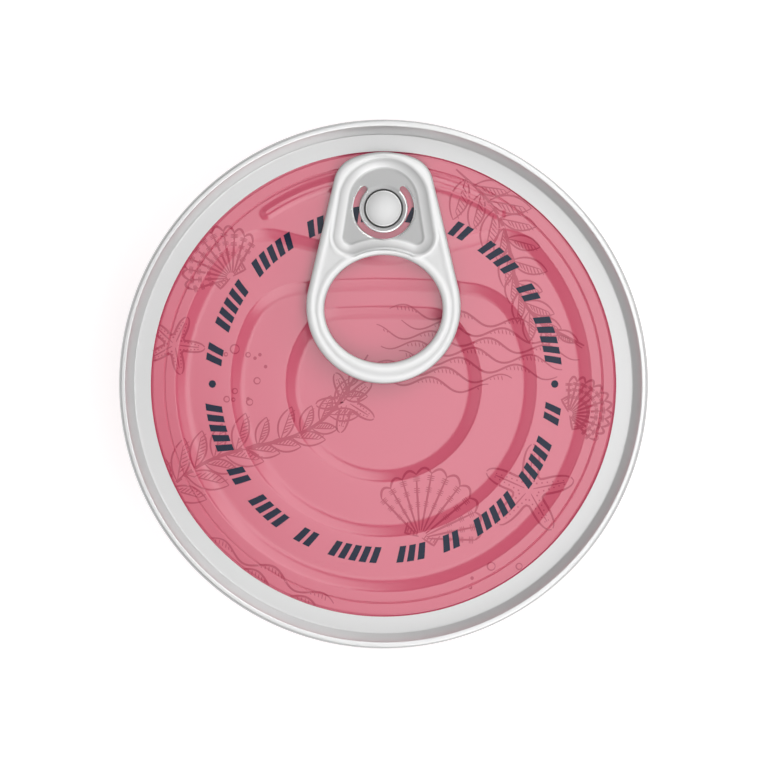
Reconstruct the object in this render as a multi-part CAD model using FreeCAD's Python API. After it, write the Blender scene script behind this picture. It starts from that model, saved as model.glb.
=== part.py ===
import FreeCAD, Part
import math
import os

# A shut food can of the 307 x 106 size, with a ring pull on its seamed end.
# It is a drawn can, so its wall and base are one piece.  The contents fill it, so the
# body is solid.  Units are millimetres, +Z is up, the can stands on Z = 0 with its axis
# on Z, and the ring pull's nose points along +Y.
#
# Sizes are set once here.  Whatever sits in, on or under another piece is worked out
# from that piece's own values, from the seam inwards and downwards.

# Can body
can_height = 34.9
seam_diameter = 87.3
seam_overhang = 1.65        # how far the seam stands out past the body wall
seam_height = 3.0
seam_engagement = 0.2       # how far the body wall reaches up inside the seam
base_corner = 3.0
stand_width = 1.5           # flat ring that the can stands on
base_recess = 1.0
base_step_inset = 10.0      # from the standing ring in to the base panel's own step
base_step_rise = 0.5
base_slope = 1.0            # plan width of each slope in the base

# Double seam, in section
seam_width = 1.15
seam_crown = 0.65           # radius of the outer half of the rounded top
seam_hem = 0.5              # rounding at the foot of the seam

# Can end: sheet, chuck wall and flat panel
end_sheet = 0.25
countersink = 4.2           # from the seam's top down to the panel
chuck_taper = 1.25          # how far the chuck wall leans in on its way down
chuck_fillet = 0.3

# Score line that the end tears along
score_margin = 5.05         # from the foot of the chuck wall in to the score
score_width = 0.36
score_depth = 0.1

# Finger bead: a raised arc that passes under the ring pull
bead_margin = 2.1           # from the score in to the middle of the bead
bead_width = 2.0
bead_height = 0.45
bead_half_angle = 34.0

# Three steps, each a round loop with a flattened top, going down to the middle
first_step_margin = 1.83    # from the score in to the first step
step_pitch = 9.1            # from one step's circle in to the next
step_width = 1.92
step_drop = 0.6
step_corners = (8.6, 10.8, 7.0)
step_tops = (7.3, 11.43, 16.05)     # middle of each flattened top, behind the rivet
dip_slope = 14.0            # degrees that the first step's top climbs from its middle
dip_bend = 17.65            # radius of the bend there
crown_bend = 130.0          # radius of the other steps' tops

# Ring pull
nose_overlap = 2.11         # how far the nose reaches past the score
nose_radius = 13.7
nose_corner = 5.0
ring_setback = 25.5         # from the tip of the nose to the middle of the ring
ring_radius = 12.75
side_angle = 13.3           # degrees between a straight side and the ring pull's axis
tab_lift = 0.55             # gap under the rolled edge
tab_height = 1.6
tab_edge = 0.6              # rounding of the rolled edge
finger_setback = 25.94      # from the tip of the nose to the middle of the finger hole
finger_half_width = 9.77
finger_half_length = 8.92

# Well in the ring pull, round the rivet
rivet_setback = 9.31        # from the tip of the nose to the rivet
well_head = 6.9             # radius of the well's round end
well_head_ahead = 1.0       # that end's centre, ahead of the rivet
well_side_angle = 9.0
well_lobe = 2.4
well_lobe_behind = 4.74     # centres of the two rear lobes, behind the rivet
well_waist_behind = 6.07    # middle of the wavy rear edge, behind the rivet
well_bevel = 1.3            # plan width of the sloping wall
web_lift = 0.2              # underside of the web above that of the rolled edge
web_sheet = 0.3

# Tongue cut in the web, held by its front
tongue_radius = 4.0
slot_width = 1.03
tongue_half_angle = 45.0    # of the uncut front, each side of its middle

# Rivet and the boss that lifts it off the panel
rivet_head = 2.97
rivet_head_height = 0.55
rivet_head_round = 0.2
rivet_shank = 1.8
rivet_clearance = 0.05
boss_rim = 1.2              # top of the boss past the shank
boss_flare = 0.5            # foot of the boss past its top

# Worked out from the sizes above
seam_radius = seam_diameter / 2
body_radius = seam_radius - seam_overhang
seam_inner = seam_radius - seam_width
crown_inner = seam_width - seam_crown
chuck_foot = seam_inner - chuck_taper
panel_z = can_height - countersink
seam_foot_z = can_height - seam_height
body_top_z = seam_foot_z + seam_engagement
stand_outer = body_radius - base_corner
stand_inner = stand_outer - stand_width
base_step = stand_inner - base_step_inset
score_radius = chuck_foot - score_margin
bead_radius = score_radius - bead_margin
first_step = score_radius - first_step_margin
nose_y = score_radius + nose_overlap
rivet_y = nose_y - rivet_setback
ring_y = nose_y - ring_setback
finger_y = nose_y - finger_setback
tab_z = panel_z + tab_lift
tab_top_z = tab_z + tab_height
web_z = tab_z + web_lift
web_top_z = web_z + web_sheet
boss_top = rivet_shank + boss_rim

# How far a cutting solid reaches past what it cuts, and how deep a raised one is rooted
reach_past = 1.0
root = 0.05

origin = FreeCAD.Vector(0, 0, 0)
up = FreeCAD.Vector(0, 0, 1)


def polar(centre, radius, degrees):
    """Point (x, y) at an angle on a circle about a centre."""
    turn = math.radians(degrees)
    return centre[0] + radius * math.cos(turn), centre[1] + radius * math.sin(turn)


def in_section(pair):
    """Place (radius, height) in the upright half-plane that is turned about Z."""
    return FreeCAD.Vector(pair[0], 0, pair[1])


def at_height(z):
    """Give the function that places (x, y) at height z."""
    return lambda pair: FreeCAD.Vector(pair[0], pair[1], z)


def line(start, end, place):
    """Straight edge between two points."""
    return Part.LineSegment(place(start), place(end)).toShape()


def arc(centre, radius, start, end, place):
    """Arc about a centre, between two angles in degrees."""
    angles = (start, (start + end) / 2, end)
    return Part.Arc(*[place(polar(centre, radius, angle)) for angle in angles]).toShape()


def chain(points):
    """Straight edges of a section through (radius, height) points, left open."""
    return [line(a, b, in_section) for a, b in zip(points, points[1:])]


def turned(section, degrees=360):
    """Solid swept by a closed section, its edges in order, that is turned about Z."""
    return Part.Face(Part.Wire(section)).revolve(origin, up, degrees)


def mirrored(right_half, z):
    """Closed outline at height z from its right half, which starts and ends on X = 0.

    Each piece is ("line", start, end) or ("arc", centre, radius, start, end).  The left
    half follows on in reverse order, so every outline of a kind runs the same way round.
    """
    place = at_height(z)
    right = []
    left = []
    for kind, *sizes in right_half:
        if kind == "line":
            start, end = sizes
            right.append(line(start, end, place))
            left.append(line((-end[0], end[1]), (-start[0], start[1]), place))
        else:
            (x, y), radius, start, end = sizes
            right.append(arc((x, y), radius, start, end, place))
            left.append(arc((-x, y), radius, 180 - end, 180 - start, place))
    return Part.Wire(right + left[::-1])


def prism(outline, height):
    """Solid between a flat outline and the same outline moved up."""
    return Part.Face(outline).extrude(FreeCAD.Vector(0, 0, height))


def bevelled(outline_at, inset, z_wide, z_narrow):
    """Solid between an outline at one height and the same outline, inset, at another."""
    ends = [outline_at(0, z_wide), outline_at(inset, z_narrow)]
    return Part.makeLoft(ends, True, True)


def drum(radius, z_low, z_high, y=0.0):
    """Upright cylinder on the Y axis."""
    return Part.makeCylinder(radius, z_high - z_low, FreeCAD.Vector(0, y, z_low))


def dipped_top(circle, corner, top, bend):
    """Corner's centre, its last angle and the rest of a loop whose top dips in a V.

    The dip's foot is an arc under the rivet, and straight edges climb from it.
    """
    tilt = math.radians(dip_slope)
    foot = polar((0, top + bend), bend, dip_slope - 90)
    rise = math.cos(tilt) * foot[1] - math.sin(tilt) * foot[0] - corner
    run = math.sqrt((circle - corner) ** 2 - rise ** 2)
    centre = (math.cos(tilt) * run - math.sin(tilt) * rise,
              math.sin(tilt) * run + math.cos(tilt) * rise)
    tail = [("line", polar(centre, corner, dip_slope + 90), foot),
            ("arc", (0, top + bend), bend, dip_slope - 90, -90)]
    return centre, dip_slope + 90, tail


def crowned_top(circle, corner, top, bend):
    """The same for a loop whose top is one gently rounded edge."""
    bend_y = top - bend
    y = ((circle - corner) ** 2 - (bend - corner) ** 2 + bend_y ** 2) / (2 * bend_y)
    x = math.sqrt((circle - corner) ** 2 - y ** 2)
    corner_end = math.degrees(math.atan2(y - bend_y, x))
    return (x, y), corner_end, [("arc", (0, bend_y), bend, corner_end, 90)]


def step_outline(number, inset, z):
    """Loop of one step: a circle with its top cut off, and round corners inside it."""
    circle = first_step - number * step_pitch - inset
    corner = step_corners[number] - inset
    top = rivet_y - step_tops[number] - inset
    if number == 0:
        centre, corner_end, tail = dipped_top(circle, corner, top, dip_bend + inset)
    else:
        centre, corner_end, tail = crowned_top(circle, corner, top, crown_bend - inset)
    touch = math.degrees(math.atan2(centre[1], centre[0]))
    right_half = [
        ("arc", (0, 0), circle, -90, touch),
        ("arc", centre, corner, touch, corner_end),
        *tail,
    ]
    return mirrored(right_half, z)


def tab_outline(inset, z):
    """Ring pull from above: the ring, two straight sides, and the nose with its corners."""
    ring = ring_radius - inset
    corner = nose_corner - inset
    nose = nose_radius - inset
    nose_centre = nose_y - nose_radius
    tilt = math.radians(side_angle)
    across = (math.cos(tilt), math.sin(tilt))
    rise = across[1] * (ring_y - nose_centre) + ring - corner
    run = math.sqrt((nose - corner) ** 2 - rise ** 2)
    centre = (across[0] * rise - across[1] * run,
              nose_centre + across[1] * rise + across[0] * run)
    touch = math.degrees(math.atan2(centre[1] - nose_centre, centre[0]))
    right_half = [
        ("arc", (0, ring_y), ring, -90, side_angle),
        ("line", polar((0, ring_y), ring, side_angle), polar(centre, corner, side_angle)),
        ("arc", centre, corner, side_angle, touch),
        ("arc", (0, nose_centre), nose, touch, 90),
    ]
    return mirrored(right_half, z)


def well_outline(inset, z):
    """Well from above: a round end, two sides, two lobes and a rear edge that waves."""
    head_y = rivet_y + well_head_ahead
    lobe_y = rivet_y - well_lobe_behind
    tilt = math.radians(well_side_angle)
    side = math.sin(tilt) * (head_y - lobe_y) + well_head - well_lobe
    lobe_x = side / math.cos(tilt)
    waist_y = rivet_y - well_waist_behind
    rise = lobe_y - waist_y
    waist = (lobe_x ** 2 + rise ** 2 - well_lobe ** 2) / (2 * (well_lobe - rise))
    waist_centre = waist_y - waist
    touch = math.degrees(math.atan2(lobe_y - waist_centre, lobe_x))
    head = well_head - inset
    lobe = well_lobe - inset
    ends = [polar(centre, radius, well_side_angle)
            for centre, radius in (((lobe_x, lobe_y), lobe), ((0, head_y), head))]
    right_half = [
        ("arc", (0, waist_centre), waist + inset, 90, touch),
        ("arc", (lobe_x, lobe_y), lobe, touch - 180, well_side_angle),
        ("line", *ends),
        ("arc", (0, head_y), head, well_side_angle, 90),
    ]
    return mirrored(right_half, z)


def finger_bead(z):
    """Raised bead: part of a ring with a low round section, and a half dome at each end."""
    half = bead_width / 2
    crown = (half ** 2 + bead_height ** 2) / (2 * bead_height)
    centre_z = z + bead_height - crown
    edge = math.degrees(math.atan2(crown - bead_height, half))
    foot = z - root

    def section(middle, start):
        """Section at a radius, from its far edge up to the angle where it stops."""
        near = polar((middle, centre_z), crown, start)[0]
        top = polar((middle, centre_z), crown, start)[1]
        skirt = chain([(near, top), (near, foot), (middle + half, foot), (middle + half, z)])
        return skirt + [arc((middle, centre_z), crown, edge, start, in_section)]

    bead = turned(section(bead_radius, 180 - edge), 2 * bead_half_angle)
    bead.rotate(origin, up, 90 - bead_half_angle)
    for side in (1, -1):
        dome = turned(section(0, 90), 180)
        dome.rotate(origin, up, 180 if side > 0 else 0)
        dome.translate(FreeCAD.Vector(bead_radius, 0, 0))
        dome.rotate(origin, up, 90 - side * bead_half_angle)
        bead = bead.fuse(dome)
    return bead


def open_space(drop):
    """Everything open above the can end's top face, lowered by drop and widened by it.

    With no drop this is the space above the sheet, and with the sheet's thickness it
    reaches down to the sheet's underside.
    """
    floor = panel_z - drop
    foot = chuck_foot + drop
    rim = seam_inner + drop
    rim_z = can_height - crown_inner
    lean = math.degrees(math.atan2(rim_z - floor, rim - foot))
    cut_back = chuck_fillet * math.tan(math.radians(lean / 2))
    wall_start = polar((foot - cut_back, floor + chuck_fillet), chuck_fillet, lean - 90)
    lid = can_height + reach_past
    crown = rim + crown_inner
    wall = [
        *chain([(0, lid), (0, floor), (foot - cut_back, floor)]),
        arc((foot - cut_back, floor + chuck_fillet), chuck_fillet, -90, lean - 90,
            in_section),
        *chain([wall_start, (rim, rim_z)]),
        arc((crown, rim_z), crown_inner, 180, 90, in_section),
        *chain([(crown, can_height), (crown, lid), (0, lid)]),
    ]
    space = turned(wall)
    for number in range(len(step_tops)):
        wide_z = floor - number * step_drop
        level = bevelled(lambda inset, z: step_outline(number, inset, z),
                         step_width, wide_z, wide_z - step_drop)
        space = space.fuse(level)
    boss = Part.makeCone(boss_top + boss_flare, boss_top, web_z - panel_z,
                         FreeCAD.Vector(0, rivet_y, floor))
    return space.cut(finger_bead(floor)).cut(boss)


def score_groove():
    """V-shaped ring cut into the panel's top face."""
    half = score_width / 2
    points = [(score_radius - half, panel_z), (score_radius, panel_z - score_depth),
              (score_radius + half, panel_z), (score_radius, panel_z + score_depth)]
    return turned(chain(points + points[:1]))


def make_body():
    """Drawn wall and base with the contents inside, up to the can end's underside."""
    recess_z = base_recess + base_step_rise
    section = [
        *chain([(0, body_top_z), (0, recess_z), (base_step - base_slope, recess_z),
                (base_step, base_recess), (stand_inner - base_slope, base_recess),
                (stand_inner, 0), (stand_outer, 0)]),
        arc((stand_outer, base_corner), base_corner, -90, 0, in_section),
        *chain([(body_radius, base_corner), (body_radius, body_top_z), (0, body_top_z)]),
    ]
    return turned(section).cut(open_space(end_sheet))


def make_lid():
    """Can end: the double seam, the chuck wall and the panel with its relief."""
    hem = seam_radius - seam_hem
    crown = seam_radius - seam_crown
    section = [
        *chain([(chuck_foot, can_height), (chuck_foot, body_top_z),
                (body_radius, body_top_z), (body_radius, seam_foot_z), (hem, seam_foot_z)]),
        arc((hem, seam_foot_z + seam_hem), seam_hem, -90, 0, in_section),
        *chain([(seam_radius, seam_foot_z + seam_hem),
                (seam_radius, can_height - seam_crown)]),
        arc((crown, can_height - seam_crown), seam_crown, 0, 90, in_section),
        *chain([(crown, can_height), (chuck_foot, can_height)]),
    ]
    sheet = open_space(end_sheet).common(drum(seam_inner, 0, body_top_z))
    return turned(section).fuse(sheet).cut(open_space(0)).cut(score_groove())


def make_tab():
    """Ring pull: a rolled edge all round, a finger hole, and a well with a tongue."""
    hole = Part.Ellipse(FreeCAD.Vector(0, finger_y, tab_z), finger_half_width,
                        finger_half_length)
    blank = prism(tab_outline(0, tab_z), tab_height)
    blank = blank.cut(prism(Part.Wire(hole.toShape()), tab_height))
    rims = [edge for edge in blank.Edges if edge.BoundBox.ZLength < root]
    tab = blank.makeFillet(tab_edge, rims)
    tab = tab.cut(bevelled(well_outline, well_bevel, tab_top_z, web_top_z))
    tab = tab.cut(prism(well_outline(well_bevel, tab_z), web_lift))
    tab = tab.cut(drum(rivet_shank + rivet_clearance, tab_z, tab_top_z, rivet_y))
    return tab.cut(tongue_slot())


def tongue_slot():
    """Slot round the tongue: most of a ring, open at the front, with round ends."""
    z_low = web_z - reach_past
    z_high = web_top_z + reach_past
    middle = tongue_radius + slot_width / 2
    points = [(tongue_radius, z_low), (tongue_radius + slot_width, z_low),
              (tongue_radius + slot_width, z_high), (tongue_radius, z_high)]
    slot = turned(chain(points + points[:1]), 360 - 2 * tongue_half_angle)
    slot.rotate(origin, up, 90 + tongue_half_angle)
    for side in (1, -1):
        x, y = polar((0, 0), middle, 90 + side * tongue_half_angle)
        end = drum(slot_width / 2, z_low, z_high, y)
        end.translate(FreeCAD.Vector(x, 0, 0))
        slot = slot.fuse(end)
    slot.translate(FreeCAD.Vector(0, rivet_y, 0))
    return slot


def make_rivet():
    """Rivet: a shank through the web and a flat head with a rounded rim on top of it."""
    head_z = web_top_z + rivet_head_height
    round_start = rivet_head - rivet_head_round
    section = [
        *chain([(0, head_z), (0, web_z), (rivet_shank, web_z), (rivet_shank, web_top_z),
                (rivet_head, web_top_z), (rivet_head, head_z - rivet_head_round)]),
        arc((round_start, head_z - rivet_head_round), rivet_head_round, 0, 90, in_section),
        *chain([(round_start, head_z), (0, head_z)]),
    ]
    rivet = turned(section)
    rivet.translate(FreeCAD.Vector(0, rivet_y, 0))
    return rivet


nodes = {
    "can_body": make_body(),
    "lid": make_lid(),
    "pull_tab": make_tab(),
    "rivet": make_rivet(),
}

os.makedirs("parts", exist_ok=True)
for name, shape in nodes.items():
    if len(shape.Solids) != 1 or not shape.isValid():
        raise ValueError(f"{name} is not one sound solid")
    shape.Solids[0].exportStep(f"parts/{name}.step")
    box = shape.optimalBoundingBox()
    print(f"{name}: {shape.Volume / 1000:.3f} cm3, {box.XLength:.2f} x {box.YLength:.2f}"
          f" x {box.ZLength:.2f} mm, Z {box.ZMin:.2f} to {box.ZMax:.2f}")
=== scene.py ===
# %% [markdown]
# # A shut food can with a ring pull
#
# The can stands on Z = 0 with its axis on Z and its ring pull's nose along +Y.  A can
# end is one sheet of tinplate, pressed and then rolled onto the wall.  Each cell makes
# one part of it as a surface: a profile turned about the axis, or a grid of points
# whose rows follow the pressed shapes.  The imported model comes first, because it gives
# the size that every piece keeps to.

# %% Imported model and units
import math

import bmesh
import bpy
import numpy as np
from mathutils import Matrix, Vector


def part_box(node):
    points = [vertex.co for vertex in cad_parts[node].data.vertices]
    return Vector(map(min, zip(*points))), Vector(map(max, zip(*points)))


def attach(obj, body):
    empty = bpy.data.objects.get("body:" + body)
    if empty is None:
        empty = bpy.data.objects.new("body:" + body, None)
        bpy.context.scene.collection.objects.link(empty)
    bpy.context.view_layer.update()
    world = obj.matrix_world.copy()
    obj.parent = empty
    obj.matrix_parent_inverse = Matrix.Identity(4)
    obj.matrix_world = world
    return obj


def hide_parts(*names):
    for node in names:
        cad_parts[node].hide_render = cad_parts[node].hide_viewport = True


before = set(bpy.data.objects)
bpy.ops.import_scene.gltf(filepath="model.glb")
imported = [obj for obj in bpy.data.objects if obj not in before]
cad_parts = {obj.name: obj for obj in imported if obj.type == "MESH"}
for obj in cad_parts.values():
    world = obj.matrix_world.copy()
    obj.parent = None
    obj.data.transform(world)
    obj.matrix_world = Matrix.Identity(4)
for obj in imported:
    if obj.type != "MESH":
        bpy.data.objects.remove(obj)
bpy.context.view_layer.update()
MM = 0.001

lid_low, lid_high = (np.array(corner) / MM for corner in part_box("lid"))
tab_low, tab_high = (np.array(corner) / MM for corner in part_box("pull_tab"))
rivet_low, rivet_high = (np.array(corner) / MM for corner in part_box("rivet"))
can_low, can_high = (np.array(corner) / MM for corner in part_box("can_body"))
print("can end from", lid_low.round(2), "to", lid_high.round(2), "mm")
print("can body from", can_low.round(2), "to", can_high.round(2), "mm")

# %% [markdown]
# ## Sizes
#
# A can end is specified from its seam inwards: the seam's width, the chuck wall that
# leans in, then the panel with its score line, bead and steps.  The same chain of
# values is set here in millimetres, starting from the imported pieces, so that each
# feature sits where its solid has it.

# %% Can end and seam
can_height = lid_high[2]
seam_radius = lid_high[1]
seam_overhang = 1.65
seam_width = 1.15
seam_height = 3.0
seam_crown = 0.5
seam_shoulder = 0.28
seam_hem = 0.5
chuck_taper = 1.25
chuck_fillet = 0.3
countersink = 4.2
body_radius = seam_radius - seam_overhang
seam_inner = seam_radius - seam_width
chuck_foot = seam_inner - chuck_taper
panel_z = can_height - countersink
seam_foot_z = can_height - seam_height
score_radius = chuck_foot - 5.05
bead_radius = score_radius - 2.1
bead_half_angle = 34.0
first_step = score_radius - 1.83
step_pitch = 9.1
step_width = 1.92
step_drop = 0.6
step_corners = (8.6, 10.8, 7.0)
step_tops = (7.3, 11.43, 16.05)
dip_slope = 14.0
dip_bend = 17.65
crown_bend = 130.0
print_edge = 38.47
print("panel at", round(panel_z, 2), "mm, first step at", round(first_step, 2), "mm")

# %% Ring pull and rivet
nose_y = tab_high[1]
ring_y = nose_y - 25.5
ring_radius = 12.75
nose_radius = 13.7
nose_corner = 5.0
side_angle = 13.3
finger_y = nose_y - 25.94
finger_half_width = 9.77
finger_half_length = 8.92
rivet_y = (rivet_low[1] + rivet_high[1]) / 2
rivet_head = (rivet_high[0] - rivet_low[0]) / 2
well_head = 6.9
well_head_ahead = 1.0
well_side_angle = 9.0
well_lobe = 2.4
well_lobe_behind = 4.74
well_waist_behind = 6.07
well_bevel = 1.3
tab_z = tab_low[2]
tab_top_z = tab_high[2]
web_z = tab_z + 0.2
web_top_z = web_z + 0.3
tongue_radius = 4.0
slot_width = 1.03
tongue_half_angle = 45.0
print("ring pull from", round(tab_z, 2), "to", round(tab_top_z, 2), "mm")

# %% [markdown]
# ## Meshes from arrays
#
# A surface is a grid of points, row by row.  Neighbouring points make four-sided
# faces, and a grid whose last column meets its first closes on itself.  Whole arrays
# are worked out at once, which is quick for tens of thousands of points.


# %% Grid and mesh helpers
def heading(angle):
    """Unit vectors (cos a, sin a) at angles in radians."""
    return np.stack([np.cos(angle), np.sin(angle)], axis=-1)


def left_of(vectors):
    """Vectors turned a quarter round to the left: (-y, x)."""
    return np.stack([-vectors[..., 1], vectors[..., 0]], axis=-1)


def bearing(points, centre):
    """Angle in radians at which each point is seen from a centre."""
    return np.arctan2(*(points - centre).T[::-1])


def grid_faces(rows, columns, closed):
    """Corner numbers of the quads of a grid that is stored row by row."""
    row, column = np.mgrid[:rows - 1, :columns - (not closed)]
    here, beside = row * columns + column, row * columns + (column + 1) % columns
    return np.stack([here, beside, beside + columns, here + columns], -1).reshape(-1, 4)


def new_object(name, data):
    """Object linked into the scene, at the origin."""
    thing = bpy.data.objects.new(name, data)
    bpy.context.scene.collection.objects.link(thing)
    return thing


def put_mesh(name, points, faces):
    """Piece of the can from points in millimetres, (n, 3), and quads, (m, 4).

    Points that fall together are welded, so a row of radius 0 closes to a pole.
    """
    mesh = bpy.data.meshes.new(name)
    mesh.from_pydata((points * MM).tolist(), [], faces.tolist())
    sheet = bmesh.new()
    sheet.from_mesh(mesh)
    bmesh.ops.remove_doubles(sheet, verts=sheet.verts, dist=1e-7)
    sheet.to_mesh(mesh)
    sheet.free()
    mesh.polygons.foreach_set("use_smooth", np.ones(len(mesh.polygons), bool))
    piece = new_object(name, mesh)
    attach(piece, "root")
    print(name, len(mesh.polygons), "faces")
    return piece


def face_middles(piece):
    """Middle of each face of a piece, (n, 3) in millimetres."""
    middles = np.zeros(3 * len(piece.data.polygons))
    piece.data.polygons.foreach_get("center", middles)
    return middles.reshape(-1, 3) / MM


def held_flat(profile, gap=0.05):
    """The profile with a point near both ends of each long straight run.

    Smooth shading averages the faces at a point, so a bare flat run would look bent.
    """
    profile = np.asarray(profile, float)
    start, end = profile[:-1], profile[1:]
    length = np.hypot(*(end - start).T)[:, None]
    step = (end - start) * gap / np.maximum(length, gap)
    rows = np.stack([start, start + step, end - step], axis=1)
    keep = np.hstack([length >= 0, length > 5 * gap, length > 5 * gap])
    return np.vstack([rows[keep], profile[-1:]])


def turned(profile, columns=360, centre_y=0.0):
    """Points and quads of a (radius, height) profile turned about an upright axis.

    x = r cos a, y = centre + r sin a, z = height.  The profile runs from the top
    centre outwards and down, so that the faces point outwards.
    """
    radius, height = held_flat(profile).T[..., None]
    angle = np.linspace(0, 2 * np.pi, columns, endpoint=False)
    x, y = radius * np.cos(angle), centre_y + radius * np.sin(angle)
    points = np.stack([x, y, height + 0 * angle], axis=-1).reshape(-1, 3)
    return points, grid_faces(len(radius), columns, True)[:, ::-1]


def polar(centre, radius, degrees):
    """Points at some angles on a circle."""
    return centre + radius * heading(np.radians(degrees))


def bend(centre, radius, start, end, count):
    """Points of an arc between two angles in degrees."""
    return polar(centre, radius, np.linspace(start, end, count))


# %% [markdown]
# ## Outlines
#
# The steps in the panel, the ring pull and its well are all drawn with arcs and
# tangent lines, as a toolmaker would lay them out.  An inset moves every arc inwards,
# so one function gives the whole family of parallel curves that a grid's rows follow.


# %% Right half of an outline, mirrored
def outline_points(right_half, spacing=0.12):
    """Closed loop of points, anticlockwise from the bottom, from its right half.

    Each piece is ("line", start, end) or ("arc", centre, radius, start, end).  Its
    length over the spacing gives its number of points, and -x gives the left half.
    """
    runs = []
    for kind, *sizes in right_half:
        if kind == "line":
            count = max(2, round(math.dist(*sizes) / spacing))
            run = np.linspace(*sizes, count + 1)
        else:
            centre, radius, start, end = sizes
            length = abs(math.radians(end - start)) * radius
            run = bend(centre, radius, start, end, max(2, round(length / spacing)) + 1)
        runs.append(run[:-1])
    right = np.vstack([*runs, run[-1:]])
    right[[0, -1], 0] = 0.0
    return np.vstack([right, right[-2:0:-1] * (-1, 1)])


def outline_radius(points, angle, centre=(0.0, 0.0)):
    """Distance from a centre to a closed outline round it, at each angle in radians."""
    found = np.unwrap(bearing(points, centre))
    distance = np.hypot(*(points - centre).T)
    turns = np.concatenate([found - 2 * np.pi, found, found + 2 * np.pi])
    angle = np.mod(angle - found[0], 2 * np.pi) + found[0]
    return np.interp(angle, turns, np.tile(distance, 3))


def around(points, centre, angle):
    """Points of a closed outline at angles seen from a centre."""
    return centre + outline_radius(points, angle, centre)[:, None] * heading(angle)


# %% Steps of the panel
def dipped_top(circle, corner, top, round_foot):
    """Corner's centre, its last angle, and the V-shaped rest of the first step."""
    along, up = heading(np.radians([dip_slope, dip_slope + 90]))
    foot = polar((0, top + round_foot), round_foot, dip_slope - 90)
    rise = foot @ up - corner
    run = math.sqrt((circle - corner) ** 2 - rise ** 2)
    centre = run * along + rise * up
    tail = [("line", polar(centre, corner, dip_slope + 90), foot),
            ("arc", (0, top + round_foot), round_foot, dip_slope - 90, -90)]
    return centre, dip_slope + 90, tail


def crowned_top(circle, corner, top, crown):
    """The same for a step whose top is one gently rounded edge."""
    crown_y = top - crown
    y = ((circle - corner) ** 2 - (crown - corner) ** 2 + crown_y ** 2) / (2 * crown_y)
    x = math.sqrt((circle - corner) ** 2 - y ** 2)
    corner_end = math.degrees(math.atan2(y - crown_y, x))
    return (x, y), corner_end, [("arc", (0, crown_y), crown, corner_end, 90)]


def step_loop(number, inset):
    """Loop of one step: a circle with its top cut off, and round corners inside it."""
    circle = first_step - number * step_pitch - inset
    corner = step_corners[number] - inset
    top = rivet_y - step_tops[number] - inset
    if number == 0:
        centre, corner_end, tail = dipped_top(circle, corner, top, dip_bend + inset)
    else:
        centre, corner_end, tail = crowned_top(circle, corner, top, crown_bend - inset)
    touch = math.degrees(math.atan2(*centre[::-1]))
    return outline_points([("arc", (0, 0), circle, -90, touch),
                           ("arc", centre, corner, touch, corner_end), *tail])


step_edges = [(step_loop(number, 0.0), step_loop(number, step_width))
              for number in range(len(step_tops))]
print("steps reach", [round(float(np.hypot(*outer.T).max()), 2) for outer, _ in step_edges])

# %% [markdown]
# ## Relief of the panel
#
# The panel is pressed between two dies.  Each step starts at a crisp edge where the
# sheet bends over the die, then slopes down and runs out softly.  The score is a fine
# groove that the end tears along, and another one rings the print.  The finger bead is
# a raised arc under the ring pull.  All of it is one height for every (x, y), so the
# panel and the print on it use the same function.

# %% Height of the pressed panel
edge_share = 0.13
edge_run = 0.1
groove_half = 0.19
score_depth = 0.11
print_groove = print_edge - 0.24
bead_foot = 1.2
bead_flank = 0.8
bead_height = 0.3
bead_dent = 0.1


def eased(run, width):
    """Ramp that starts softly: 0 before -width, a parabola, then the run itself."""
    inside = np.clip(run, -width, width)
    return np.where(run > width, run, (inside + width) ** 2 / (4 * width))


def step_fall(across):
    """Share of a step's drop, by how far across it a point is (0 outer, 1 inner).

    A short steep edge takes part of the drop, and a long slope that ends softly
    takes the rest.
    """
    edge = eased(across / edge_run, 0.6) - eased(across / edge_run - 1, 0.6)
    slope = eased(across, 0.08) - eased(across - 1, 0.24)
    return edge_share * edge + (1 - edge_share) * slope


def groove(radius, middle, depth):
    """Depth of a V-shaped groove at a radius: it falls evenly to its middle line."""
    return depth * np.clip(1 - np.abs(radius - middle) / groove_half, 0, 1)


def bead_rise(x, y):
    """Height of the finger bead, by the distance from the middle line of its arc.

    Its flanks are straight with soft ends, and a shallow dent runs along its top, so
    it takes the light on two ridges.
    """
    angle = np.degrees(np.arctan2(y, x))
    held = np.radians(np.clip(angle, 90 - bead_half_angle, 90 + bead_half_angle))
    off = np.hypot(x - bead_radius * np.cos(held), y - bead_radius * np.sin(held))
    up = (bead_foot - off) / bead_flank
    return bead_height * (eased(up, 0.15) - eased(up - 1, 0.15)) \
        - bead_dent * np.exp(-(off / 0.3) ** 2)


def panel_height(x, y):
    """Height in millimetres of the printed panel's top at each (x, y)."""
    radius = np.hypot(x, y)
    angle = np.arctan2(y, x)
    z = np.full(np.shape(x), panel_z)
    for edges in step_edges:
        start, end = (outline_radius(loop, angle) for loop in edges)
        z = z - step_drop * step_fall((start - radius) / (start - end))
    z = z - groove(radius, score_radius, score_depth)
    z = z - groove(radius, print_groove, score_depth * 0.8)
    return z + bead_rise(x, y)


print("panel falls to", panel_height(np.ones(1), np.zeros(1)).round(2), "mm")

# %% [markdown]
# ## Printed panel
#
# The panel could be a flat disc with a bump texture, but the steps shade differently
# on every side.  It is a polar grid instead, whose rows crowd together across each
# step and groove and drift apart on the flats.

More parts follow.
